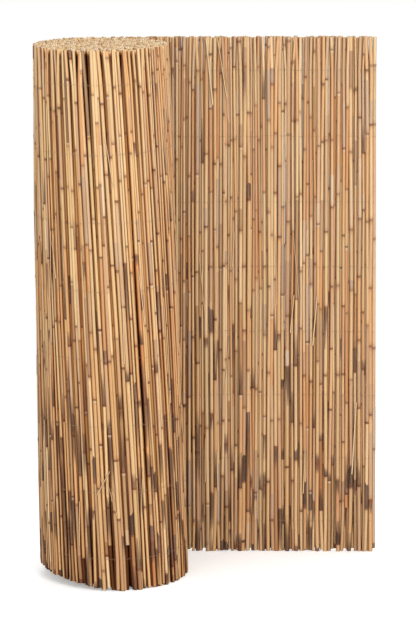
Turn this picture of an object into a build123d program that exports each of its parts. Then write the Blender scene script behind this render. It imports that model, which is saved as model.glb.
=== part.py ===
from build123d import *
import os
from math import acos, atan2, cos, degrees, pi, radians, sin, sqrt

os.makedirs("parts", exist_ok=True)

# Reed screening wound into a roll that stands on its butt ends, with its loose end let out.
# The roll's foot is centred on the origin, the floor is z = 0 and the loose end runs along +X.

# Reeds, in millimetres
screen_height = 1000.0
butt_diameter = 7.4
tip_diameter = 6.4
reed_sides = 8
reed_gap = 0.4
seat_gap = 0.3

# Roll, measured over its outer turn
foot_radius = 139.0
head_radius = 123.0
head_shift_left = 18.0
head_shift_front = 8.0
twist_angle = 21.0

# Wound turns, as they show on the two ends
bore_diameter = 16.0
turns = 9
turn_gap = 1.6
turn_gap_depth = 10.0
steps_per_turn = 24

# Loose end
loose_length = 505.0
loose_bow = 25.0
reeds_per_bunch = 10

# Binding wires
wire_size = 1.2
lowest_wire = 62.0
wire_spacing = 125.0
wire_stride = 3

# The two ends of the roll, and the circles on which the reeds of its outer turn stand
foot_centre = Vector(0, 0, 0)
head_centre = Vector(-head_shift_left, -head_shift_front, screen_height)
foot_ring = foot_radius - butt_diameter / 2
head_ring = head_radius - tip_diameter / 2
twist = radians(twist_angle)

# Reeds are counted from the place at the back where the screen leaves the roll along +X:
# below 0 they stand round the roll, above 0 in the loose end.
foot_pitch = butt_diameter + reed_gap
ring_step = foot_pitch / foot_ring
closing_angle = acos(1 - (butt_diameter + 2 * reed_gap) / foot_ring)
first_reed = -int((2 * pi - closing_angle) / ring_step)
bunch_extra = wire_size + 2 * seat_gap - reed_gap
last_reed = int(loose_length / (foot_pitch + bunch_extra / reeds_per_bunch))
bow_radius = loose_length**2 / (2 * loose_bow)
head_lead = twist * head_ring
head_shrink = (loose_length + head_shift_left - head_lead) / loose_length


def screen_line(centre, ring, travel):
    """Point of the screen's middle line, at a travel measured from where it leaves the roll."""
    if travel <= 0:
        angle = pi / 2 - travel / ring
        return centre + Vector(ring * cos(angle), ring * sin(angle))
    bend = travel / bow_radius
    return centre + Vector(bow_radius * sin(bend), ring - bow_radius * (1 - cos(bend)))


def reed_ends(number):
    """Centres of a reed's butt on the floor and of its tip at the head."""
    if number <= 0:
        foot_travel = number * foot_pitch
        head_travel = head_lead + number * ring_step * head_ring
    else:
        foot_travel = number * foot_pitch + number // reeds_per_bunch * bunch_extra
        head_travel = head_lead + foot_travel * head_shrink
    butt = screen_line(foot_centre, foot_ring, foot_travel)
    tip = screen_line(head_centre, head_ring, head_travel)
    return butt, tip


def reed(number):
    """One straight reed, thick at its butt and thin at its tip, with both ends cut level."""
    butt, tip = reed_ends(number)
    with BuildPart() as stalk:
        with BuildSketch(Plane(origin=butt)):
            RegularPolygon(butt_diameter / 2, reed_sides)
        with BuildSketch(Plane(origin=tip)):
            RegularPolygon(tip_diameter / 2, reed_sides)
        loft(ruled=True)
    return stalk.part


def waist(share):
    """Radius of the ring of reeds at a share of the height: twisting draws the reeds inwards."""
    along = (1 - share) * foot_ring + share * head_ring * cos(twist)
    across = share * head_ring * sin(twist)
    return sqrt(along**2 + across**2)


def reed_radius(share):
    return ((1 - share) * butt_diameter + share * tip_diameter) / 2


# Wound turns: one turned body round the leaning axis, waisted like the ring of reeds that it backs
roll_axis = Axis(foot_centre, head_centre - foot_centre)
profile_normal = Vector(1, 0, 0).cross(roll_axis.direction).normalized()
profile_side = roll_axis.direction.cross(profile_normal)
axis_length = (head_centre - foot_centre).length
end_margin = 0.01


def wound_radius(share):
    return waist(share) - reed_radius(share) - seat_gap


def profile_point(share):
    return (wound_radius(share), share * axis_length)


def turn_gaps(outer_radius):
    """Outline of the gap between turns: an even spiral that grows clockwise, as the screen lies."""
    pitch = (outer_radius - bore_diameter / 2) / turns
    inner_points = []
    outer_points = []
    for step in range((turns - 1) * steps_per_turn):
        angle = -2 * pi * step / steps_per_turn
        radius = bore_diameter / 2 + pitch * (0.5 + step / steps_per_turn)
        inner = radius - turn_gap / 2
        outer = radius + turn_gap / 2
        inner_points.append((inner * cos(angle), inner * sin(angle)))
        outer_points.append((outer * cos(angle), outer * sin(angle)))
    return Polyline(inner_points + outer_points[::-1], close=True)


with BuildPart() as wound_turns:
    with BuildSketch(Plane(origin=foot_centre, x_dir=profile_side, z_dir=profile_normal)):
        with BuildLine():
            low = (bore_diameter / 2, -end_margin * axis_length)
            high = (bore_diameter / 2, (1 + end_margin) * axis_length)
            outside = ThreePointArc(
                profile_point(-end_margin), profile_point(0.5), profile_point(1 + end_margin)
            )
            Polyline(outside @ 0, low, high, outside @ 1)
        make_face()
    revolve(axis=roll_axis)
    split(bisect_by=Plane.XY, keep=Keep.TOP)
    split(bisect_by=Plane.XY.offset(screen_height), keep=Keep.BOTTOM)
    with BuildSketch(Plane(origin=head_centre)):
        with BuildLine():
            turn_gaps(wound_radius(1))
        make_face()
    extrude(amount=-turn_gap_depth, mode=Mode.SUBTRACT)
    foot_turning = Plane(origin=foot_centre, x_dir=(cos(twist), sin(twist), 0), z_dir=(0, 0, 1))
    with BuildSketch(foot_turning):
        with BuildLine():
            turn_gaps(wound_radius(0))
        make_face()
    extrude(amount=turn_gap_depth, mode=Mode.SUBTRACT)
wound_turns.part.label = "wound_turns"
export_step(wound_turns.part, "parts/wound_turns.step")

# The reeds themselves: those of the roll's outer turn, and those of the loose end
outer_turn_reeds = Compound(
    label="outer_turn_reeds", children=[reed(number) for number in range(first_reed, 0)]
)
export_step(outer_turn_reeds, "parts/outer_turn_reeds.step")

loose_end_reeds = Compound(
    label="loose_end_reeds", children=[reed(number) for number in range(0, last_reed + 1)]
)
export_step(loose_end_reeds, "parts/loose_end_reeds.step")


# Binding wires: each row is one wire that runs round the outer turn and along the back of the
# loose end, turns round its last reed and comes back along its front. Crossings between the
# bunches of reeds tie the two strands together.
wire_rows = int((screen_height - lowest_wire) / wire_spacing) + 1
stride_sag = (wire_stride * foot_pitch) ** 2 / (8 * head_ring)
wedge_width = butt_diameter + wire_size + 3 * seat_gap
front_start = int(sqrt(2 * foot_ring * wedge_width) / foot_pitch) + 2
ring_numbers = list(range(first_reed + 1, 0, wire_stride))
back_numbers = list(range(0, last_reed - 1, reeds_per_bunch)) + [last_reed]
front_numbers = [front_start] + [number for number in back_numbers if number > front_start]
crossings = [number for number in back_numbers[:-1] if number > front_start]


def reed_centre(number, share):
    butt, tip = reed_ends(number)
    return butt + (tip - butt) * share


def slant(number, share):
    """Direction of the screen at a reed, seen from above."""
    along = reed_centre(number, share) - reed_centre(number - 1, share)
    return degrees(atan2(along.Y, along.X))


def strand(numbers, share, side):
    """Outline of a strand that lies against one side of the given reeds."""
    inner_points = []
    outer_points = []
    for number in numbers:
        across = Vector(0, side, 0).rotate(Axis.Z, slant(number, share))
        inner = reed_radius(share) + seat_gap + (stride_sag if number < 0 else 0)
        inner_points.append(reed_centre(number, share) + across * inner)
        outer_points.append(reed_centre(number, share) + across * (inner + wire_size))
    return Polyline(inner_points + outer_points[::-1], close=True)


for row in range(wire_rows):
    wire_height = lowest_wire + row * wire_spacing
    share = wire_height / screen_height
    reach = reed_radius(share) + seat_gap + wire_size
    with BuildPart() as wire:
        with BuildSketch(Plane.XY.offset(wire_height - wire_size / 2)):
            with BuildLine():
                strand(ring_numbers + back_numbers, share, 1)
            make_face()
            with BuildLine():
                strand(front_numbers, share, -1)
            make_face()
            for number in crossings:
                middle = (reed_centre(number - 1, share) + reed_centre(number, share)) / 2
                with Locations(Location((middle.X, middle.Y), slant(number, share))):
                    Rectangle(wire_size, 2 * reach - wire_size)
            last = reed_centre(last_reed, share)
            with Locations(Location((last.X, last.Y), slant(last_reed, share))):
                Rectangle(reach, 2 * reach, align=(Align.MIN, Align.CENTER))
                Rectangle(
                    reach - wire_size,
                    2 * (reach - wire_size),
                    align=(Align.MIN, Align.CENTER),
                    mode=Mode.SUBTRACT,
                )
        extrude(amount=wire_size)
    wire.part.label = f"binding_wire_{row + 1}"
    export_step(wire.part, f"parts/binding_wire_{row + 1}.step")
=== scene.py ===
import math
import random

import bmesh
import bpy
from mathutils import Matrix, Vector


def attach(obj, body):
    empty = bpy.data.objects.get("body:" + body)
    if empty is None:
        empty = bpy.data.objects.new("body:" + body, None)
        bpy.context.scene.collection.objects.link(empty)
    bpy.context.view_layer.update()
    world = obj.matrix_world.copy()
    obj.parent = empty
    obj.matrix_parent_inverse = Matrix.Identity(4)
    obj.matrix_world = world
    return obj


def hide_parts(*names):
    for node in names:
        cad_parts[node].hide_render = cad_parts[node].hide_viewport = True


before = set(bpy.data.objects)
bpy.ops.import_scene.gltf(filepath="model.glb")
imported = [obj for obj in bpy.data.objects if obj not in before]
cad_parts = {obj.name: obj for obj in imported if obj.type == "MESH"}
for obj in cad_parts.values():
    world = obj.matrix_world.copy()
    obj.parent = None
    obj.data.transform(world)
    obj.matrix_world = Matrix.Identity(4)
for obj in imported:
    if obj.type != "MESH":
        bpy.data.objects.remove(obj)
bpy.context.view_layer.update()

# Reed screening roll. Everything is in metres: the roll's foot is centred on the origin, the floor
# is z = 0 and the loose end runs along +X behind the roll.


def addObject(name, data):
    made = bpy.data.objects.new(name, data)
    bpy.context.scene.collection.objects.link(made)
    return made


def meshFrom(bm, name):
    mesh = bpy.data.meshes.new(name)
    bm.to_mesh(mesh)
    bm.free()
    return mesh


# Camera, fitted to the photograph

photoCamera = {
    "imageHeight": 623,      # pixels
    "focalLength": 2958.0,   # pixels
    "across": -0.042,
    "distance": 5.4,
    "eyeHeight": 1.559,
    "tiltDown": 11.11,       # degrees
    "turnRight": 2.365,
    "rollOver": 0.187,
    "sensor": 36.0,
}


def addCamera(s):
    data = bpy.data.cameras.new("photoCamera")
    data.sensor_width = s["sensor"]
    data.lens = s["focalLength"] * s["sensor"] / s["imageHeight"]  # the long side carries the sensor
    camera = addObject("photoCamera", data)
    camera.location = (s["across"], -s["distance"], s["eyeHeight"])
    camera.rotation_euler = (
        math.radians(90 - s["tiltDown"]), math.radians(s["rollOver"]), math.radians(-s["turnRight"])
    )
    bpy.context.scene.camera = camera


addCamera(photoCamera)
print("camera placed")


# How the screen lies: the same line as the CAD reeds stand on

screen = {
    "height": 1.0,
    "footRing": 0.1353,      # circle of the outer reeds' centres
    "headRing": 0.1198,
    "headShift": (-0.018, -0.008),
    "twist": math.radians(12),
    "pitch": 0.0078,
    "loosePitch": 0.00794,   # the wires' crossings spread the loose end a little
    "bulge": 0.0021,         # how far the roll stands out at mid height
    "bulgeFade": 12,         # reeds over which that dies away beside the loose end
    "looseLength": 0.505,
    "looseBow": 0.025,
    "outerReeds": 102,       # in the roll's outer turn
    "looseReeds": 64,
    "headShort": 0.007,      # the loose end is a little narrower at its head
    "footRise": 0.021,       # how far off the floor the roll's leftmost reeds end
}
screen["bowRadius"] = screen["looseLength"] ** 2 / (2 * screen["looseBow"])
screen["headLead"] = screen["twist"] * screen["headRing"]


def spoke(angle, reach=1.0):
    return Vector((math.cos(angle), math.sin(angle))) * reach


def screenLine(centre, ring, travel):
    # point and outward direction of the screen's middle line; travel 0 is where it leaves the roll
    if travel <= 0:
        outward = spoke(math.pi / 2 - travel / ring)
        return Vector(centre) + outward * ring, outward
    bend = travel / screen["bowRadius"]
    outward = Vector((math.sin(bend), math.cos(bend)))
    middle = Vector(centre) + Vector((0, ring - screen["bowRadius"]))
    return middle + outward * screen["bowRadius"], outward


def reedLine(number, outwards=0.0):
    # foot and head of the reed with that number; reed 0 stands where the screen leaves the roll
    shrink = screen["headRing"] / screen["footRing"]
    footTravel = number * screen["pitch" if number <= 0 else "loosePitch"]
    if number <= 0:
        headTravel = screen["headLead"] + footTravel * shrink
    else:
        looseHead = (
            screen["looseLength"] - screen["headShift"][0] - screen["headLead"] - screen["headShort"]
        )
        headTravel = screen["headLead"] + footTravel * looseHead / screen["looseLength"]
    foot, footOut = screenLine((0, 0), screen["footRing"], footTravel)
    head, headOut = screenLine(screen["headShift"], screen["headRing"], headTravel)
    return foot + footOut * outwards, head + headOut * outwards


def onwardAt(number):
    # along the screen, from one reed's foot to the next
    return (reedLine(number + 1)[0] - reedLine(number)[0]).normalized()


def outwardFrom(onward):
    return Vector((-onward.y, onward.x))


# Reed shells, made one at a time and gathered into pieces

reedMake = {
    "sides": 8,
    "buttRadius": 0.0037,
    "tipRadius": 0.0032,
    "boreShare": 0.5,               # hollow of the stalk
    "boreTaper": 0.9,
    "boreDepth": 0.012,
    "boreMost": 0.25,               # of a short straw's length
    "internode": (0.1, 0.22),
    "jointHalf": 0.0011,            # half the height of a joint's bulge
    "jointFoot": 0.004,             # how far it runs out below and above
    "jointSwell": 1.1,
    "underSwell": 0.98,             # of that swell, on the joint's lower side
    "endClear": 0.008,              # joints and sheaths stop this far from a cut end
    "sheathChance": 0.3,
    "sheathShare": (0.15, 0.9),
    "sheathSwell": 1.08,
    "sheathEdge": 0.0004,
    "huskChance": (0.01, 0.34),     # a dark loose sheath, at the head and more at the foot
    "huskRise": 3.2,
    "huskLength": (0.012, 0.055),
    "huskClear": 0.012,             # of the joint above
    "huskSwell": (1.08, 1.22),
    "huskRagged": 0.006,
    "bow": 0.0026,
    "kink": 0.0011,
    "kinkCount": 7,
    "headRagged": 0.0035,
    "footRagged": 0.0065,
    "lowWire": 0.062,
    "highWire": 0.937,
    "headFan": 0.0034,              # how far a reed's end strays beyond the last wire
    "footFan": 0.002,
}

# What the tint layer tells the skin: its alpha is the cut, its blue the sheath
marks = {
    "hollow": 0.5,
    "cutWood": 1.0,
    "husk": 0.5,
    "sheath": 1.0,
    "some": 0.25,        # limits that tell them from bare skin and from one another
    "full": 0.75,
}


def ringOf(z, radius, cut=0.0, section=None, ragged=None):
    return {"z": z, "radius": radius, "cut": cut, "section": section, "ragged": ragged}


def withRingAt(rings, z):
    # one more ring at a given height, where the stalk is to bend
    for place, (below, above) in enumerate(zip(rings, rings[1:])):
        if above["section"] and below["z"] < z < above["z"]:
            share = (z - below["z"]) / (above["z"] - below["z"])
            radius = below["radius"] + (above["radius"] - below["radius"]) * share
            return rings[:place + 1] + [ringOf(z, radius, section=above["section"])] + rings[place + 1:]
    return rings


def withEnds(s, low, high, butt, tip, section, between=()):
    # the two cut ends of a stalk, each with its hollow, and the rings between them
    depth = min(s["boreDepth"], (high - low) * s["boreMost"])
    buttMouth = butt * s["boreShare"]
    tipMouth = tip * s["boreShare"]
    return [
        ringOf(low + depth, buttMouth * s["boreTaper"]),
        ringOf(low, buttMouth, cut=marks["hollow"]),
        ringOf(low, butt, cut=marks["cutWood"]),
        *between,
        ringOf(high, tip, section=section),
        ringOf(high, tipMouth, cut=marks["cutWood"]),
        ringOf(high - depth, tipMouth * s["boreTaper"], cut=marks["hollow"]),
    ]


def stalkRings(s, dice, low, high, thick):
    # the rings that a whole reed's outline passes through, from its butt to its tip
    def radiusAt(z):
        share = z / screen["height"]
        return thick * (s["buttRadius"] * (1 - share) + s["tipRadius"] * share)

    joints = []
    z = low - dice.uniform(0, s["internode"][1])
    while z < high:
        joints.append(z)
        z += dice.uniform(*s["internode"])
    joints.append(z)
    between = []
    for below, above in zip(joints, joints[1:]):
        section = {"below": below, "above": above, "shade": dice.random(), "sheath": 0.0}
        start = below + s["jointHalf"]
        finish = above - s["jointHalf"]
        middle = min(1.0, max(0.0, (below + above) / 2 / screen["height"]))
        huskChance = s["huskChance"][0] + s["huskChance"][1] * (1 - middle) ** s["huskRise"]
        wrap = 0
        swell = 1.0
        ragged = None
        if dice.random() < huskChance:
            wrap = marks["husk"]
            swell = dice.uniform(*s["huskSwell"])
            top = min(start + dice.uniform(*s["huskLength"]), finish - s["huskClear"])
            ragged = [dice.uniform(-1, 1) * s["huskRagged"] for _ in range(s["sides"])]
        elif dice.random() < s["sheathChance"]:
            wrap = marks["sheath"]
            swell = s["sheathSwell"]
            top = below + (above - below) * dice.uniform(*s["sheathShare"])
        steps = [(start, s["jointSwell"], 0, None), (start + s["jointFoot"], swell, wrap, None)]
        if wrap:
            steps += [(top, swell, wrap, ragged), (top + s["sheathEdge"], 1.0, 0, ragged)]
        steps += [
            (finish - s["jointFoot"], 1.0, 0, None),
            (finish, s["jointSwell"] * s["underSwell"], 0, None),
        ]
        for z, grown, wrapped, edge in steps:
            if low + s["endClear"] < z < high - s["endClear"]:
                part = {**section, "sheath": wrapped}
                between.append(ringOf(z, radiusAt(z) * grown, section=part, ragged=edge))
    rings = withEnds(s, low, high, radiusAt(low), radiusAt(high), section, between)
    for z in (s["lowWire"], screen["height"] / 2, s["highWire"]):
        rings = withRingAt(rings, z)
    return rings


def plainRings(s, low, high, butt, tip, shade):
    # a stalk of which little more than the two ends shows, or a short stray one
    section = {"below": low - 1, "above": high + 1, "shade": shade, "sheath": 0.0}
    return withEnds(s, low, high, butt, tip, section)


def mapLayers(bm):
    uv = bm.loops.layers.uv
    return {
        "bake": uv.new("OFBake"),
        "skin": uv.new("skin"),
        "joints": uv.new("joints"),
        "tint": bm.loops.layers.float_color.new("tint"),
    }


bakeMap = {
    "stripShare": 0.96,      # of a strip's width
    "stripFill": 0.98,       # of its height
    "endFill": 0.46,         # of a cell's width, for the widest ring
    "floorFill": 0.5,        # the hollow's floor is drawn smaller than its mouth
    "detailedEnds": 0.05,    # share of the map that the cut ends take
    "plainEnds": 0.75,
}


def endCell(cell, cells, share):
    # middle and size of one end's cell, in the band along the top of the map
    across = max(1, math.ceil(math.sqrt(cells / share)))
    rows = math.ceil(cells / across)
    width = 1 / across
    height = share / rows
    return (cell % across + 0.5) * width, 1 - (cell // across + 0.5) * height, width, height


def stalkOf(slot, slots, tone, folds=1, endShare=bakeMap["detailedEnds"], sides=reedMake["sides"]):
    # a stalk's place on its piece's bake map, its tone and its number of sides
    return {
        "slot": slot, "slots": slots, "tone": tone, "folds": folds, "endShare": endShare, "sides": sides
    }


def paintBand(layers, stalk, faces, ring, atFoot):
    # what the skin and the bake read, for one ring of faces
    section = ring["section"]
    folds = stalk["folds"]
    foldHeight = screen["height"] / folds
    endShare = stalk["endShare"]
    for face in faces:
        face.smooth = section is not None
        centre = face.calc_center_median()
        facing = math.atan2(centre.y, centre.x)
        for loop in face.loops:
            x, y, z = loop.vert.co
            around = math.atan2(y, x)
            if around - facing > math.pi:
                around -= 2 * math.pi
            if around - facing < -math.pi:
                around += 2 * math.pi
            loop[layers["skin"]].uv = (around * reedMake["buttRadius"], z)
            if section:
                fold = min(folds - 1, int(centre.z / foldHeight))     # the strip is folded up
                across = around / (2 * math.pi) * bakeMap["stripShare"] + 0.5
                along = (z - fold * foldHeight) / foldHeight * bakeMap["stripFill"]
                column = stalk["slot"] * folds + fold
                bake = ((column + across) / (stalk["slots"] * folds), along * (1 - endShare))
                joints = (z - section["below"], section["above"] - z)
                tint = (stalk["tone"], section["shade"], section["sheath"], 0)
            else:
                cell = stalk["slot"] * 2 + (0 if atFoot else 1)
                middleX, middleY, width, height = endCell(cell, stalk["slots"] * 2, endShare)
                reach = math.hypot(x, y) / stalk["widest"] * bakeMap["endFill"]
                if ring["cut"] == marks["hollow"] and stalk["low"] < z < stalk["high"]:
                    reach *= bakeMap["floorFill"]
                bake = (
                    middleX + math.cos(around) * reach * width,
                    middleY + math.sin(around) * reach * height,
                )
                joints = (1, 1)
                tint = (stalk["tone"], 0.5, 0, ring["cut"])
            loop[layers["bake"]].uv = bake
            loop[layers["joints"]].uv = joints
            loop[layers["tint"]] = tint


def makeStalk(rings, stalk, centreAt, turn):
    # one closed shell: a circle at the bottom of the butt's hollow is extruded ring by ring
    bm = bmesh.new()
    layers = mapLayers(bm)
    bmesh.ops.create_circle(bm, cap_ends=True, segments=stalk["sides"], radius=rings[0]["radius"])
    bmesh.ops.translate(bm, verts=bm.verts[:], vec=(0, 0, rings[0]["z"]))
    edges = bm.edges[:]
    hollowFloor = {"cut": marks["hollow"], "section": None}
    bands = [(bm.faces[:], hollowFloor)]
    for before, ring in zip(rings, rings[1:]):
        made = bmesh.ops.extrude_edge_only(bm, edges=edges)["geom"]
        verts = [part for part in made if isinstance(part, bmesh.types.BMVert)]
        faces = [part for part in made if isinstance(part, bmesh.types.BMFace)]
        fresh = set(verts)
        edges = [
            part for part in made
            if isinstance(part, bmesh.types.BMEdge) and fresh.issuperset(part.verts)
        ]
        grow = ring["radius"] / before["radius"]
        bmesh.ops.scale(bm, verts=verts, vec=(grow, grow, 1))
        for number, vert in enumerate(verts):
            vert.co.z = ring["z"] + (ring["ragged"][number] if ring["ragged"] else 0)
        bands.append((faces, ring))
    bands.append((bmesh.ops.edgeloop_fill(bm, edges=edges)["faces"], hollowFloor))
    bmesh.ops.recalc_face_normals(bm, faces=bm.faces[:])
    stalk["widest"] = max(ring["radius"] for ring in rings)
    stalk["low"] = rings[1]["z"]
    stalk["high"] = rings[-2]["z"]
    for place, (faces, ring) in enumerate(bands):
        paintBand(layers, stalk, faces, ring, place < len(bands) / 2)
    for edge in bm.edges:
        edge.smooth = len({face.smooth for face in edge.link_faces}) == 1     # crisp rims
    for vert in bm.verts:
        x, y, z = vert.co
        spun = math.atan2(y, x) + turn
        reach = math.hypot(x, y)
        middle = centreAt(z)
        vert.co = (middle.x + reach * math.cos(spun), middle.y + reach * math.sin(spun), z)
    return meshFrom(bm, "stalk")


def gather(name, stalks, material, node):
    bm = bmesh.new()
    for mesh in stalks:
        bm.from_mesh(mesh)
        bpy.data.meshes.remove(mesh)
    mesh = meshFrom(bm, name)
    mesh.materials.append(material)
    piece = addObject(name, mesh)
    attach(piece, "root")
    if node:
        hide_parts(node)
    print(name, "has", sum(len(face.vertices) - 2 for face in mesh.polygons), "triangles")


# Shader maths as expressions on sockets

class Flow:
    def __init__(self, tree, socket):
        self.tree = tree
        self.socket = socket

    def maths(self, operation, first, second=None, clamp=False):
        node = self.tree.nodes.new("ShaderNodeMath")
        node.operation = operation
        node.use_clamp = clamp
        for place, value in zip(node.inputs, (first, second)):
            if isinstance(value, Flow):
                self.tree.links.new(value.socket, place)
            elif value is not None:
                place.default_value = value
        return Flow(self.tree, node.outputs[0])

    def __add__(self, other):
        return self.maths("ADD", self, other)

    def __radd__(self, other):
        return self.maths("ADD", other, self)

    def __sub__(self, other):
        return self.maths("SUBTRACT", self, other)

    def __rsub__(self, other):
        return self.maths("SUBTRACT", other, self)

    def __mul__(self, other):
        return self.maths("MULTIPLY", self, other)

    def __rmul__(self, other):
        return self.maths("MULTIPLY", other, self)

    def __truediv__(self, other):
        return self.maths("DIVIDE", self, other)

    def __rtruediv__(self, other):
        return self.maths("DIVIDE", other, self)

    def __pow__(self, other):
        return self.maths("POWER", self, other)

    def __gt__(self, other):
        return self.maths("GREATER_THAN", self, other)

    def __lt__(self, other):
        return self.maths("LESS_THAN", self, other)

    def most(self, other):
        return self.maths("MAXIMUM", self, other)

    def least(self, other):
        return self.maths("MINIMUM", self, other)

    def sine(self):
        return self.maths("SINE", self)

    def size(self):
        return self.maths("ABSOLUTE", self)

    def scattered(self, factor):
        return self.maths("FRACT", self * factor)      # another random value from one

    def clamped(self):
        return self.maths("ADD", self, 0.0, clamp=True)

    def rising(self, start, slope):
        return ((self - start) * slope).clamped()


class Paint:
    def __init__(self, name, tree=None):
        if tree is None:
            self.material = bpy.data.materials.new(name)
            self.material.use_nodes = True
            tree = self.material.node_tree
        self.tree = tree
        self.tree.nodes.clear()

    def node(self, kind, settings=None, values=None):
        made = self.tree.nodes.new(kind)
        for key, value in (settings or {}).items():
            if key == "stops":
                while len(made.color_ramp.elements) < len(value):
                    made.color_ramp.elements.new(1.0)
                for element, (place, colour) in zip(made.color_ramp.elements, value):
                    element.position = place
                    element.color = colour
            else:
                setattr(made, key, value)
        for key, value in (values or {}).items():
            if isinstance(value, Flow):
                self.tree.links.new(value.socket, made.inputs[key])
            else:
                made.inputs[key].default_value = value
        return made

    def out(self, made, name=0):
        return Flow(self.tree, made.outputs[name])

    def mix(self, share, first, second, blend="MIX"):
        made = self.node(
            "ShaderNodeMix",
            {"data_type": "RGBA", "blend_type": blend},
            {0: share, 6: first, 7: second},
        )
        return self.out(made, 2)

    def times(self, first, second):
        return self.mix(1.0, first, second, "MULTIPLY")

    def tinted(self, share, colour, tint):
        return self.mix(share, colour, self.times(colour, tint))

    def noise(self, vector, detail=2.0, roughness=0.5, scale=1.0):
        made = self.node(
            "ShaderNodeTexNoise",
            {"noise_dimensions": "3D"},
            {"Vector": vector, "Scale": scale, "Detail": detail, "Roughness": roughness},
        )
        return self.out(made, "Fac")

    def ramp(self, value, stops):
        return self.out(self.node("ShaderNodeValToRGB", {"stops": stops}, {"Fac": value}))

    def vector(self, x, y, z):
        return self.out(self.node("ShaderNodeCombineXYZ", None, {"X": x, "Y": y, "Z": z}))

    def parts(self, vector):
        made = self.node("ShaderNodeSeparateXYZ", None, {"Vector": vector})
        return [self.out(made, axis) for axis in "XYZ"]

    def uvMap(self, name):
        return self.out(self.node("ShaderNodeUVMap", {"uv_map": name}), "UV")

    def place(self, kind="Object"):
        return self.out(self.node("ShaderNodeTexCoord"), kind)

    def seenOr(self, seen, lit):
        # one shader for what the camera sees, the other for the light that the object gets
        camera = self.out(self.node("ShaderNodeLightPath"), "Is Camera Ray")
        values = {0: camera, 1: self.out(lit), 2: self.out(seen)}
        return self.node("ShaderNodeMixShader", None, values)

    def finish(self, values):
        shader = self.node("ShaderNodeBsdfPrincipled", None, values)
        self.node("ShaderNodeOutputMaterial", None, {"Surface": self.out(shader)})
        return self.material


def tone(red, green, blue):
    # a colour as seen on screen, 0 to 255, made linear
    channels = []
    for value in (red, green, blue):
        value /= 255
        channels.append(value / 12.92 if value <= 0.04045 else ((value + 0.055) / 1.055) ** 2.4)
    return (*channels, 1.0)


# Reed skin: straw to honey by stalk, another shade above each joint, dull old sheaths, painted brown
# shade in the grooves between neighbours, dark mottled stretches that run out from the joints, and some
# sections that are dark all along, more of both low down

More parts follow.
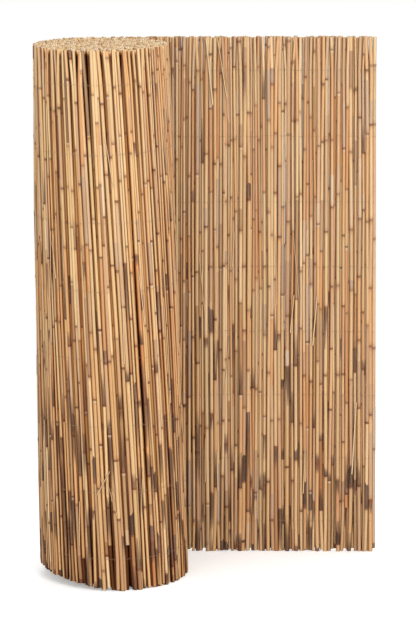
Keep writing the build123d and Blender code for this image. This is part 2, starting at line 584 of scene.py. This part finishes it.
reedLook = {
    "stalkTones": [
        (0.0, tone(202, 158, 112)),
        (0.16, tone(216, 176, 130)),
        (0.34, tone(228, 192, 146)),
        (0.5, tone(212, 168, 120)),
        (0.66, tone(230, 200, 152)),
        (0.82, tone(208, 158, 112)),
        (1.0, tone(240, 218, 176)),
    ],
    "sectionTones": [
        (0.0, tone(204, 136, 84)),
        (0.12, tone(222, 168, 110)),
        (0.34, tone(230, 192, 136)),
        (0.55, tone(240, 213, 164)),
        (0.72, tone(214, 186, 134)),
        (0.86, tone(212, 172, 134)),
        (1.0, tone(184, 152, 124)),
    ],
    "sheathTones": [
        (0.0, tone(176, 138, 104)),
        (0.3, tone(206, 170, 130)),
        (0.6, tone(220, 190, 152)),
        (0.85, tone(188, 160, 134)),
        (1.0, tone(234, 212, 176)),
    ],
    "huskTones": [
        (0.0, tone(58, 40, 30)),
        (0.4, tone(88, 63, 48)),
        (0.7, tone(124, 94, 78)),
        (1.0, tone(164, 128, 102)),
    ],
    "sectionShare": 0.58,
    "allTint": (0.87, 0.865, 0.89, 1.0),
    "lowTint": (0.95, 0.878, 0.818, 1.0),
    "lowUntintedShare": 0.12,                 # sections that are not tinted darker low down
    "darkShare": 0.16,                  # sections that are dark all along, at the foot
    "darkRise": 1.6,
    "darkTint": (0.68, 0.6, 0.54, 1.0),
    "darkStrength": (0.55, 0.7),        # even, and by smear
    "agedTint": (0.86, 0.72, 0.6, 1.0),
    "agedShare": 0.45,
    "agedRise": (0.44, 3.0),            # where it starts on the noise, and its slope
    "patchRise": (0.5, 4.0),
    "patchStretch": (34.0, 34.0, 4.5),
    "patchRoughness": 0.6,
    # painted shade in the grooves between neighbouring reeds
    "grooveShadeTint": (0.34, 0.165, 0.075, 1.0),
    "grooveShadeFrom": 0.36,
    "grooveShadeStrength": (0.54, 0.98),     # at the head and at the foot
    "streaks": {                        # how often around and along, detail and roughness
        "fibre": (2400.0, 20.0, 3.0, 0.6),
        "broad": (420.0, 9.0, 2.0, 0.5),
        "smear": (330.0, 12.0, 2.0, 0.6),
        "aged": (160.0, 16.0, 2.0, 0.6),
        "grain": (1500.0, 60.0, 4.0, 0.7),
        "spots": (900.0, 260.0, 2.0, 0.5),
    },
    "stalkStep": 90.0,                  # keeps the noise of one stalk from the next
    "streakShade": (0.8, 0.26, 0.14),   # even, by fibre and broad
    "spotFrom": (0.7, 0.05),            # on the noise, and how much sooner at the foot
    "spotSlope": 9.0,
    "spotShare": 0.7,
    "jointDark": tone(92, 50, 32),
    "jointStain": tone(162, 102, 66),
    "jointPale": tone(238, 220, 190),
    "jointReach": 0.0031,
    "jointSlope": 2.2,
    "jointStrength": (0.26, 0.5, 0.14),      # even, by section and low down
    "stainReach": 0.011,
    "stainShare": 0.65,
    "paleReach": 0.007,
    "paleFrom": 0.9,
    "paleShare": 0.8,
    "mottleTones": [
        (0.0, tone(56, 38, 28)),
        (0.4, tone(86, 60, 44)),
        (0.7, tone(122, 90, 70)),
        (1.0, tone(160, 122, 92)),
    ],
    "mottleChance": (0.02, 0.5),        # at the head, and more at the foot
    "mottleRise": 3.4,
    "mottleReach": (0.015, 0.09),
    "mottleSkew": 1.2,
    "mottleFade": (1.7, 1.9, 2.3, 2.5, 3.3),      # near the joint, by smear, broad and fibre, and less
    "mottleShare": 0.88,
    "mottleVary": 0.3,
    "huskShare": 0.94,
    "huskVary": 0.5,
    "paleness": (1.6, 0.7, 0.77, 0.4),  # by smear and grain, less, and at the head
    "cutTones": [
        (0.0, tone(128, 84, 46)),
        (0.34, tone(240, 212, 166)),
        (1.0, tone(255, 251, 236)),
    ],
    "cutVary": (0.85, 0.5, 0.18),       # by stalk and wood, and less
    "woodStretch": (700.0, 60.0, 300.0),
    # painted shade: the inside of the hollows is painted dark
    "hollow": tone(54, 33, 19),
    "inside": tone(62, 26, 6),          # painted shade, for skins behind other reeds that never see the light
    "insideShadeShare": 0.0,
    "midInsideShade": 0.8,                   # share of that at mid height
    "footInsideShade": 0.27,
    # painted light: the head end of the shaded skins is painted pale as if lit, over this length and by
    # this share
    "litEndLength": 0.008,
    "paintedLitEndShare": 0.8,
    "paintedLitEndTone": tone(240, 212, 166),
    "bumpHeight": 0.00014,
    "bumpStrength": 0.6,
    "skinRoughness": 0.42,
    "fibreRoughness": 0.1,
    "sheathRoughness": 0.6,
    "mottleRoughness": 0.7,
    "cutRoughness": 0.8,
    "sheen": 0.3,
}

# Factors that draw each feature's own random value out of the one that a section or a stalk has
picks = {
    "sheathTone": 5.3,
    "lowUntinted": 17.3,
    "dark": 29.3,
    "smearAbove": 7.31,
    "lengthAbove": 41.3,
    "smearBelow": 19.7,
    "lengthBelow": 23.9,
    "smearTone": 31.7,
    "huskTone": 13.7,
    "stain": 3.7,
    "rim": 11.9,
    "line": 2.9,
    "cutTone": 9.1,
}


def reedPaint(name, s):
    paint = Paint(name)
    around, height, _ = paint.parts(paint.uvMap("skin"))
    aboveJoint, belowJoint, _ = paint.parts(paint.uvMap("joints"))
    layer = paint.node("ShaderNodeAttribute", {"attribute_name": "tint"})
    tint = paint.node("ShaderNodeSeparateColor", None, {"Color": paint.out(layer, "Color")})
    stalk = paint.out(tint, "Red")
    section = paint.out(tint, "Green")
    sheath = paint.out(tint, "Blue")
    cut = paint.out(layer, "Alpha")
    low = (1.0 - height / screen["height"]).clamped()

    # colour by stalk and by section
    colour = paint.mix(
        s["sectionShare"], paint.ramp(stalk, s["stalkTones"]), paint.ramp(section, s["sectionTones"])
    )
    sheathTone = paint.ramp(section.scattered(picks["sheathTone"]), s["sheathTones"])
    colour = paint.mix(sheath > marks["full"], colour, sheathTone)
    colour = paint.times(colour, s["allTint"])

    # fibres run along the stalk
    def streaks(kind):
        across, along, detail, roughness = s["streaks"][kind]
        return paint.noise(
            paint.vector(around * across, height * along, stalk * s["stalkStep"]), detail, roughness
        )

    fibre = streaks("fibre")
    broad = streaks("broad")
    smear = streaks("smear")
    even, byFibre, byBroad = s["streakShade"]
    shade = even + fibre * byFibre + broad * byBroad
    colour = paint.times(colour, paint.vector(shade, shade, shade))

    # ageing, darker and browner low down, and the dark sections
    stretched = paint.node(
        "ShaderNodeVectorMath", {"operation": "MULTIPLY"}, {0: paint.place(), 1: s["patchStretch"]}
    )
    patch = paint.noise(paint.out(stretched), roughness=s["patchRoughness"])
    aged = streaks("aged").rising(*s["agedRise"]) * s["agedShare"]
    aged = aged + patch.rising(*s["patchRise"]) * s["agedShare"]
    colour = paint.tinted(aged, colour, s["agedTint"])
    dulled = low * (section.scattered(picks["lowUntinted"]) > s["lowUntintedShare"])
    colour = paint.tinted(dulled, colour, s["lowTint"])
    dark = section.scattered(picks["dark"]) < low ** s["darkRise"] * s["darkShare"]
    even, bySmear = s["darkStrength"]
    colour = paint.tinted(dark * (even + smear * bySmear), colour, s["darkTint"])

    # dark smears that fade away from a joint, and the loose sheaths
    atHead, more = s["mottleChance"]
    chance = atHead + low ** s["mottleRise"] * more
    shortest, longest = s["mottleReach"]

    def mottleFrom(distance, pick, length):
        reach = shortest + section.scattered(length) ** s["mottleSkew"] * (longest - shortest)
        near, bySmear, byBroad, byFibre, less = s["mottleFade"]
        fade = (1.0 - distance / reach) * near + smear * bySmear + broad * byBroad
        fade = fade + fibre * byFibre - less
        return fade.clamped() * (distance < reach) * (section.scattered(pick) < chance)

    above = mottleFrom(aboveJoint, picks["smearAbove"], picks["lengthAbove"])
    below = mottleFrom(belowJoint, picks["smearBelow"], picks["lengthBelow"])
    mottled = above.most(below)
    grain = streaks("grain")
    bySmear, byGrain, less, atHead = s["paleness"]
    paleness = smear * bySmear + grain * byGrain - less + (1.0 - low) * atHead

    def varied(tones, pick, amount):
        level = paleness + section.scattered(pick) * amount - amount / 2
        return paint.ramp(level.clamped(), tones)

    smearColour = varied(s["mottleTones"], picks["smearTone"], s["mottleVary"])
    colour = paint.mix(mottled * s["mottleShare"], colour, smearColour)
    husk = (sheath > marks["some"]) * (sheath < marks["full"])
    huskColour = varied(s["huskTones"], picks["huskTone"], s["huskVary"])
    colour = paint.mix(husk * s["huskShare"], colour, huskColour)
    start, sooner = s["spotFrom"]
    spotted = ((streaks("spots") - start + low * sooner) * s["spotSlope"]).clamped()
    colour = paint.mix(spotted * s["spotShare"], colour, s["jointDark"])

    # joints: a dark ring in a brown stain, some with a pale rim under it
    nearJoint = aboveJoint.least(belowJoint)
    stain = (1.0 - nearJoint / s["stainReach"]).clamped() * section.scattered(picks["stain"])
    colour = paint.mix(stain * s["stainShare"], colour, s["jointStain"])
    rimmed = section.scattered(picks["rim"]) > s["paleFrom"]
    rim = (1.0 - belowJoint / s["paleReach"]).clamped() * rimmed
    colour = paint.mix(rim * s["paleShare"], colour, s["jointPale"])
    line = ((1.0 - nearJoint / s["jointReach"]) * s["jointSlope"]).clamped()
    even, bySection, atFoot = s["jointStrength"]
    line = line * (even + section.scattered(picks["line"]) * bySection + low * atFoot)
    colour = paint.mix(line, colour, s["jointDark"])

    # painted shade: the sides of each reed that turn towards its neighbours are painted brown and dark,
    # more at the foot
    sideways = (around / reedMake["buttRadius"]).sine().size()
    grooveShade = ((sideways - s["grooveShadeFrom"]) / (1.0 - s["grooveShadeFrom"])).clamped() ** 2.0
    atHead, atFoot = s["grooveShadeStrength"]
    grooveShade = grooveShade * (atHead + low * (atFoot - atHead))
    colour = paint.tinted(grooveShade, colour, s["grooveShadeTint"])

    # painted shade: skins behind other reeds are painted dark, but for an end at the head painted pale
    # as if lit
    if s["insideShadeShare"]:
        fromHead = (screen["height"] - height) / s["litEndLength"]
        fromMiddle = 1.0 - low * 2.0
        shadeDepth = s["midInsideShade"] + fromMiddle * fromMiddle * (1.0 - s["midInsideShade"])
        shadeDepth = (shadeDepth + low ** 3.0 * s["footInsideShade"]).clamped()
        paintedShade = (fromHead - 0.5).clamped() * shadeDepth * s["insideShadeShare"]
        colour = paint.mix(paintedShade, colour, s["inside"])
        # painted light: a pale end at the head, as if lit
        colour = paint.mix((1.0 - fromHead).clamped() * s["paintedLitEndShare"], colour, s["paintedLitEndTone"])

    # cut ends, and the hollow inside painted dark as shade
    across, byStalk, along = s["woodStretch"]
    wood = paint.noise(paint.vector(around * across, stalk * byStalk, height * along), 1.0)
    byStalk, byWood, less = s["cutVary"]
    level = stalk.scattered(picks["cutTone"]) * byStalk + wood * byWood - less
    end = paint.ramp(level.clamped(), s["cutTones"])
    # painted shade: the hollow is painted dark
    end = paint.mix((2.0 - cut * 2.0).clamped(), end, s["hollow"])
    colour = paint.mix(cut > marks["some"], colour, end)

    smooth = s["skinRoughness"]
    rough = smooth + (sheath > marks["some"]) * (s["sheathRoughness"] - smooth)
    rough = rough + mottled * (s["mottleRoughness"] - smooth) + fibre * s["fibreRoughness"]
    rough = rough + (cut > marks["some"]) * (s["cutRoughness"] - smooth)
    bump = paint.node(
        "ShaderNodeBump", None,
        {"Strength": s["bumpStrength"], "Distance": s["bumpHeight"], "Height": fibre + grain * mottled},
    )
    return paint.finish({
        "Base Color": colour,
        "Roughness": rough,
        "Normal": paint.out(bump),
        "Specular IOR Level": s["sheen"],
    })


rollLook = {
    **reedLook,
    "allTint": (0.93, 0.92, 0.905, 1.0),
    "lowTint": (0.835, 0.765, 0.665, 1.0),
    # stronger and wider painted shade in the grooves of the roll
    "grooveShadeTint": (0.32, 0.11, 0.025, 1.0),
    "grooveShadeFrom": 0.22,
    "grooveShadeStrength": (0.72, 1.35),
    "darkShare": 0.2,
    "mottleChance": (0.02, 0.45),
    "mottleRise": 1.75,
    "mottleReach": (0.014, 0.12),
    "sheen": 0.2,
}
# painted shade: darker, more orange copies of the roll's skin for the row behind the outer turn and for
# the turns inside
shadedBehindLook = {
    **rollLook,
    "allTint": (0.8, 0.62, 0.4, 1.0),
    "insideShadeShare": 0.88,
    "midInsideShade": 0.2,
    "sheen": 0.15,
}
shadedInsideLook = {**shadedBehindLook, "insideShadeShare": 0.95, "midInsideShade": 0.6, "sheen": 0.1}

reedSkin = reedPaint("reedSkin", reedLook)
rollSkin = reedPaint("rollReedSkin", rollLook)
shadedBehindSkin = reedPaint("shadedBehindReedSkin", shadedBehindLook)
shadedInsideSkin = reedPaint("shadedInsideReedSkin", shadedInsideLook)
print("reed skins mixed")


# Rows of whole reeds: the roll's outer turn and the loose end, each with a staggered row behind it

partedRows = {"from": 0.5, "full": 10.0, "apart": 0.0028}  # the loose end's two rows, by reed number


def partAt(number):
    share = (number - partedRows["from"]) / (partedRows["full"] - partedRows["from"])
    return min(1.0, max(0.0, share)) * partedRows["apart"]


outerTurn = {
    "name": "outerTurnReeds",
    "node": "outer_turn_reeds",
    "skin": rollSkin,
    "seed": 14,
    "pieces": 4,
    "numbers": (-screen["outerReeds"], -1),
    "inwards": 0.0,
    "parted": 0,
    "thickness": (0.6, 1.36, 0.94),   # least, most, usual
    "shortShare": 0.1,                # reeds whose butt ends above the foot
    "shortBy": (0.012, 0.1),
    "bunch": (2, 5),                  # reeds that stray together
    "squeeze": 0.0008,                # how much closer they stand at their ends
    "weave": 0.0013,                  # in and out of the row
    "waves": (4, 9),
    "bunchSway": (0.001, 0.001),      # at foot and head
    "sway": (0.003, 0.0033),
    "stray": 1.0,                     # share of the bow, kinks and fanned ends
    "depth": 0.0009,
}
outerTurnBacking = {
    **outerTurn,
    "name": "outerTurnBackingReeds",
    "skin": shadedBehindSkin,
    "seed": 12,
    "numbers": (0.5 - screen["outerReeds"], -1.5),
    "inwards": 0.0032,
    "thickness": (0.86, 1.12, 1.0),
    "shortShare": 0.0,
}
looseEnd = {
    **outerTurn,
    "name": "looseEndReeds",
    "node": "loose_end_reeds",
    "skin": reedSkin,
    "seed": 23,
    "pieces": 3,
    "numbers": (2.5, screen["looseReeds"] - 1.5),
    "parted": -1,
    "thickness": (0.54, 1.28, 0.88),
    "squeeze": 0.0003,
    "weave": 0.0006,
    "bunchSway": (0.001, 0.0016),
    "sway": (0.0024, 0.003),
}
looseEndBacking = {
    **looseEnd,
    "name": "looseEndBackingReeds",
    "seed": 24,
    "numbers": (0, screen["looseReeds"] - 1),
    "parted": 1,
    "thickness": (1.1, 1.22, 1.15),
    "shortShare": 0.0,
    "squeeze": 0.0,
    "weave": 0.0,
    "bunchSway": (0.0002, 0.0005),
    "sway": (0.0003, 0.0005),
    "stray": 0.2,
}


def inPieces(things, count):
    size = math.ceil(len(things) / count)
    return [things[start:start + size] for start in range(0, len(things), size)]


def bulgeAt(number):
    # full round the roll, and dying away towards the loose end
    return screen["bulge"] * min(1.0, max(0.0, -number / screen["bulgeFade"]))


def addRow(s):
    dice = random.Random(s["seed"])
    first, last = s["numbers"]
    numbers = [first + step for step in range(int(last - first) + 1)]
    left = 0
    for order, part in enumerate(inPieces(numbers, s["pieces"])):
        stalks = []
        for slot, number in enumerate(part):
            if left == 0:
                left = dice.randint(*s["bunch"])
                fromMiddle = (1 - left) / 2
                together = [dice.uniform(-1, 1) * reach for reach in s["bunchSway"]]
            left -= 1
            outwards = s["parted"] * partAt(number) - s["inwards"]
            foot = reedLine(number, outwards + dice.uniform(-1, 1) * s["depth"])[0]
            head = reedLine(number, outwards + dice.uniform(-1, 1) * s["depth"])[1]
            onward = onwardAt(number)
            foot = foot + onward * (together[0] + dice.triangular(-1, 1) * s["sway"][0])
            head = head + onward * (together[1] + dice.triangular(-1, 1) * s["sway"][1])
            path = {
                "foot": foot,
                "head": head,
                "onward": onward,
                "stray": s["stray"],
                "squeeze": -fromMiddle * s["squeeze"],
                "weave": dice.uniform(-1, 1) * s["weave"],
                "phase": dice.uniform(0, 2 * math.pi),
                "waves": dice.uniform(*s["waves"]),
                "bow": dice.uniform(-1, 1) * reedMake["bow"],
                "kinks": [dice.uniform(-1, 1) * reedMake["kink"] for _ in range(reedMake["kinkCount"])],
                "headFan": dice.uniform(-1, 1) * reedMake["headFan"],
                "footFan": dice.uniform(-1, 1) * reedMake["footFan"],
                "bulge": bulgeAt(number),
            }
            fromMiddle += 1
            low = footLift(foot) + dice.random() ** 2 * reedMake["footRagged"]
            if dice.random() < s["shortShare"]:
                low += dice.uniform(*s["shortBy"])
            high = screen["height"] - dice.random() ** 2 * reedMake["headRagged"]
            rings = stalkRings(reedMake, dice, low, high, dice.triangular(*s["thickness"]))
            stalk = stalkOf(slot, len(part), dice.random(), folds=2)
            facing = math.atan2(onward.x, -onward.y)      # outwards, away from the roll
            stalks.append(makeStalk(rings, stalk, lambda z: wayOf(path, z), facing))
        gather(f"{s['name']}{order + 1}", stalks, s["skin"], s["node"])


def footLift(foot):
    # the screen wasn't wound quite level, so the reeds on the roll's left end a little above the floor
    share = min(1.0, max(0.0, -foot.x / screen["footRing"]))
    return screen["footRise"] * share


def wayOf(path, z):
    # a straight lean, slightly bowed and kinked, that strays beyond the last wires
    share = z / screen["height"]
    kinks = path["kinks"]
    step = min(share, 0.999) * (len(kinks) - 1)      # short of the last kink
    before = int(step)
    aside = kinks[before] + (kinks[before + 1] - kinks[before]) * (step - before)
    aside += path["bow"] * math.sin(math.pi * share)
    pastHigh = max(0.0, z - reedMake["highWire"])
    pastLow = max(0.0, reedMake["lowWire"] - z)
    aside += path["headFan"] * pastHigh / (screen["height"] - reedMake["highWire"])
    aside += path["footFan"] * pastLow / reedMake["lowWire"]
    aside = aside * path["stray"] + path["squeeze"] * abs(2 * share - 1)
    out = path["bulge"] * math.sin(math.pi * share)
    out += path["weave"] * math.sin(path["phase"] + path["waves"] * share)
    onLine = path["foot"] + (path["head"] - path["foot"]) * share
    return onLine + path["onward"] * aside + outwardFrom(path["onward"]) * out


for row in (outerTurn, outerTurnBacking, looseEnd, looseEndBacking):
    addRow(row)


# Short straws and splinters caught in the screen, thinner than the reeds and more aslant

strays = {
    "seed": 61,
    "sides": 6,
    "placed": [
        # reed number, from, to, lean along the screen, radius
        (-53.0, 0.184, 0.229, -0.58, 0.0012),
        (-54.4, 0.158, 0.224, 0.22, 0.0006),
        (-54.9, 0.172, 0.213, -0.12, 0.0005),
        (-55.3, 0.14, 0.196, 0.13, 0.0007),
        (-52.6, 0.196, 0.222, 0.4, 0.0005),
        (-87.0, 0.835, 0.962, 0.02, 0.0015),
        (23.2, 0.872, 0.997, -0.1, 0.0017),
        (26.3, 0.884, 0.996, -0.16, 0.0015),
    ],
    "onRoll": (10, -84, -24),       # how many, between which reed numbers
    "onLooseEnd": (12, 19, 61),
    "span": (0.03, 0.97),
    "length": (0.05, 0.15),
    "lean": 0.11,
    "radius": (0.0007, 0.0016),
    "taper": 0.8,
    "clear": 0.0004,
    "shade": 0.58,
    "tones": (0.6, 1.0),
}


def addStrays(s):
    dice = random.Random(s["seed"])
    wanted = {"roll": [], "looseEnd": []}
    for straw in s["placed"]:
        wanted["roll" if straw[0] < 0 else "looseEnd"].append(straw)
    for where, (count, first, last) in (("roll", s["onRoll"]), ("looseEnd", s["onLooseEnd"])):
        for _ in range(count):
            length = dice.uniform(*s["length"])
            low = dice.uniform(s["span"][0], s["span"][1] - length)
            lean = dice.uniform(-1, 1) * s["lean"]
            straw = (dice.uniform(first, last), low, low + length, lean, dice.uniform(*s["radius"]))
            wanted[where].append(straw)
    for where, straws in wanted.items():
        made = []
        for slot, (number, low, high, lean, radius) in enumerate(straws):
            reach = reedMake["buttRadius"] + radius + s["clear"]
            outwards = reach if where == "roll" else -partAt(number) - reach
            foot, head = reedLine(number, outwards)
            onward = onwardAt(number)
            outward = outwardFrom(onward) * bulgeAt(number)
            middle = (low + high) / 2

            def centreAt(z):
                share = z / screen["height"]
                aside = onward * lean * (z - middle) + outward * math.sin(math.pi * share)
                return foot + (head - foot) * share + aside

            rings = plainRings(reedMake, low, high, radius, radius * s["taper"], s["shade"])
            stalk = stalkOf(slot, len(straws), dice.uniform(*s["tones"]), sides=s["sides"])
            facing = math.atan2(onward.x, -onward.y)
            made.append(makeStalk(rings, stalk, centreAt, facing))
        gather(f"{where}Straws", made, reedSkin, None)


addStrays(strays)


# Turns inside the roll: two staggered rows to a turn, wound as a spiral that grows clockwise

insideTurns = {
    "seed": 37,
    "pieces": 3,
    "turns": 9,
    "bore": 0.008,
    "footOutside": 0.1285,
    "headOutside": 0.1135,
    "step": 0.0049,
    "rowShare": 0.235,       # of a turn's thickness, each side of its middle
    "thickness": (0.86, 1.16),
    "jitter": 0.0007,
    "rimSteps": 720,         # places tried round the rim, where the last turn leaves room
    "rimClear": 0.0054,
    "headRagged": 0.005,
    "footRagged": 0.005,
}


def addInsideTurns(s):
    dice = random.Random(s["seed"])
    footPitch = (s["footOutside"] - s["bore"]) / s["turns"]
    headPitch = (s["headOutside"] - s["bore"]) / s["turns"]
    outermost = s["footOutside"] - reedMake["buttRadius"]
    angle = math.pi / 2
    side = 1
    spots = []
    while angle < (s["turns"] + 1) * 2 * math.pi:
        turn = angle / (2 * math.pi)
        footReach = s["bore"] + footPitch * (turn + side * s["rowShare"])
        headReach = s["bore"] + headPitch * (turn + side * s["rowShare"])
        if footReach < outermost:
            shake = Vector((dice.uniform(-1, 1), dice.uniform(-1, 1))) * s["jitter"]
            foot = spoke(screen["twist"] - angle, footReach) + shake
            head = spoke(-angle, headReach) + shake
            spots.append((foot, head + Vector(screen["headShift"])))
        angle += s["step"] / (s["bore"] + footPitch * turn)
        side = -side
    for step in range(s["rimSteps"]):
        angle = 2 * math.pi * step / s["rimSteps"]
        foot = spoke(screen["twist"] - angle, outermost)
        head = spoke(-angle, s["headOutside"] - reedMake["tipRadius"]) + Vector(screen["headShift"])
        if min((head - other).length for _, other in spots) > s["rimClear"]:
            spots.append((foot, head))
    print(len(spots), "reeds wound inside")
    for order, part in enumerate(inPieces(spots, s["pieces"])):
        stalks = []
        for slot, (foot, head) in enumerate(part):
            low = footLift(foot) + dice.random() * s["footRagged"]
            high = screen["height"] - dice.random() ** 2 * s["headRagged"]
            thick = dice.uniform(*s["thickness"])
            butt = reedMake["buttRadius"] * thick
            tip = reedMake["tipRadius"] * thick
            rings = plainRings(reedMake, low, high, butt, tip, dice.random())
            stalk = stalkOf(slot, len(part), dice.random(), endShare=bakeMap["plainEnds"])
            turn = dice.uniform(0, 2 * math.pi)
            stalks.append(
                makeStalk(rings, stalk, lambda z: foot + (head - foot) * (z / screen["height"]), turn)
            )
        gather(f"woundReeds{order + 1}", stalks, shadedInsideSkin, "wound_turns")


addInsideTurns(insideTurns)


# Binding wires: two strands to a row, which change sides between small bunches of reeds

bindingWire = {
    "seed": 5,
    "rows": 8,
    "lowest": 0.062,
    "apart": 0.125,
    "radius": 0.0003,
    "bunch": (2, 4),
    "waver": 0.0012,
    "metal": tone(170, 148, 118),
    "rust": tone(140, 102, 68),
    "rustScale": 90.0,
    "rustRise": (2.4, 0.8),      # slope on the noise, and how much less
    "roughness": (0.5, 0.3),     # of the metal, and more where it rusts
    "metallic": 0.5,
}


def wirePaint(s):
    paint = Paint("wireMetal")
    slope, less = s["rustRise"]
    rusty = (paint.noise(paint.place(), 3.0, scale=s["rustScale"]) * slope - less).clamped()
    even, more = s["roughness"]
    return paint.finish({
        "Base Color": paint.mix(rusty, s["metal"], s["rust"]),
        "Roughness": even + rusty * more,
        "Metallic": s["metallic"],
    })


def strandPoints(s, dice, z, outside):
    share = z / screen["height"]
    reedRadius = reedMake["buttRadius"] * (1 - share) + reedMake["tipRadius"] * share
    left = dice.randint(*s["bunch"])
    lift = 0.0
    points = []
    for number in range(-screen["outerReeds"], screen["looseReeds"]):
        reach = reedRadius + s["radius"] + partAt(number)
        bulge = bulgeAt(number) * math.sin(math.pi * share)
        for step, offset in ((0.0, outside * reach), (0.5, 0.0 if left == 0 else outside * reach)):
            foot, head = reedLine(number + step, offset + bulge)
            middle = foot + (head - foot) * share
            points.append((middle.x, middle.y, z + lift))
        if left == 0:
            outside = -outside
            left = dice.randint(*s["bunch"])
            lift = dice.uniform(-1, 1) * s["waver"]
        left -= 1
    return points


def addWires(s):
    metal = wirePaint(s)
    for row in range(s["rows"]):
        z = s["lowest"] + row * s["apart"]
        curve = bpy.data.curves.new("strands", "CURVE")
        curve.dimensions = "3D"
        curve.bevel_depth = s["radius"]
        curve.bevel_resolution = 0
        curve.use_fill_caps = True
        for side in (1, -1):
            dice = random.Random(s["seed"] + row)      # both strands change sides together
            points = strandPoints(s, dice, z, side)
            spline = curve.splines.new("POLY")
            spline.points.add(len(points) - 1)
            for point, place in zip(spline.points, points):
                point.co = (*place, 1)
        holder = bpy.data.objects.new("strands", curve)
        mesh = bpy.data.meshes.new_from_object(holder)
        bpy.data.objects.remove(holder)
        mesh.materials.clear()
        mesh.materials.append(metal)
        mesh.shade_smooth()
        piece = addObject(f"wireRow{row + 1}", mesh)
        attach(piece, "root")
        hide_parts(f"binding_wire_{row + 1}")
    print("wires strung")


addWires(bindingWire)


# Studio: white floor and backdrop, an even sky and soft lamps

studio = {
    "floorSize": 24.0,
    "floorTone": tone(240, 240, 240),
    "floorGlow": 0.3,
    "whiteFrom": 0.55,       # metres from the object's middle, past which the floor is plain white
    "whiteOver": 0.5,
    "floorRoughness": 0.9,
    "white": (1.0, 1.0, 1.0, 1.0),
    "skyStrength": 0.72,
    "skyLean": 0.5,          # how much brighter the right of the sky is than its middle
    "skyRise": 0.42,         # and how much brighter overhead
    "lamps": [
        {"name": "keyLamp", "place": (1.7, -3.9, 2.5), "size": 1.8, "power": 88.0},
        {"name": "fillLamp", "place": (-2.4, -3.2, 1.6), "size": 2.4, "power": 28.0},
        {"name": "rearLamp", "place": (0.4, 3.6, 2.6), "size": 2.4, "power": 55.0},
    ],
    "aim": (0.18, 0.0, 0.5),
}


def floorPaint(s):
    paint = Paint("floorWhite")
    away = paint.node(
        "ShaderNodeVectorMath", {"operation": "DISTANCE"},
        {0: paint.place(), 1: (s["aim"][0], s["aim"][1], 0)},
    )
    far = ((paint.out(away, "Value") - s["whiteFrom"]) / s["whiteOver"]).clamped()
    lit = paint.node(
        "ShaderNodeBsdfPrincipled", None,
        {"Base Color": s["floorTone"], "Roughness": s["floorRoughness"], "Specular IOR Level": 0.0},
    )
    glow = paint.node("ShaderNodeEmission", None, {"Strength": s["floorGlow"]})
    white = paint.node("ShaderNodeEmission", None, {"Strength": 1.0})
    raised = paint.node("ShaderNodeAddShader", None, {0: paint.out(lit), 1: paint.out(glow)})
    near = paint.node("ShaderNodeMixShader", None, {0: far, 1: paint.out(raised), 2: paint.out(white)})
    both = paint.seenOr(near, lit)
    paint.node("ShaderNodeOutputMaterial", None, {"Surface": paint.out(both)})
    return paint.material


def addStudio(s):
    bm = bmesh.new()
    bmesh.ops.create_grid(bm, x_segments=1, y_segments=1, size=s["floorSize"] / 2)
    mesh = meshFrom(bm, "floor")
    mesh.materials.append(floorPaint(s))
    floor = addObject("floor", mesh)

    world = bpy.data.worlds.new("studioSky")
    world.use_nodes = True
    bpy.context.scene.world = world
    paint = Paint("skyLight", world.node_tree)
    right, _, up = paint.parts(paint.place("Generated"))
    strength = (1.0 + (right * s["skyLean"] + up * s["skyRise"])) * s["skyStrength"]
    sky = paint.node("ShaderNodeBackground", None, {"Color": s["white"], "Strength": strength})
    white = paint.node("ShaderNodeBackground", None, {"Color": s["white"], "Strength": 1.0})
    both = paint.seenOr(white, sky)
    paint.node("ShaderNodeOutputWorld", None, {"Surface": paint.out(both)})

    for lamp in s["lamps"]:
        data = bpy.data.lights.new(lamp["name"], "AREA")
        data.shape = "DISK"
        data.size = lamp["size"]
        data.energy = lamp["power"]
        light = addObject(lamp["name"], data)
        light.location = lamp["place"]
        aim = Vector(s["aim"]) - Vector(lamp["place"])
        light.rotation_euler = aim.to_track_quat("-Z", "Y").to_euler()
    bpy.context.scene.view_settings.view_transform = "Standard"
    print("studio lit")


addStudio(studio)
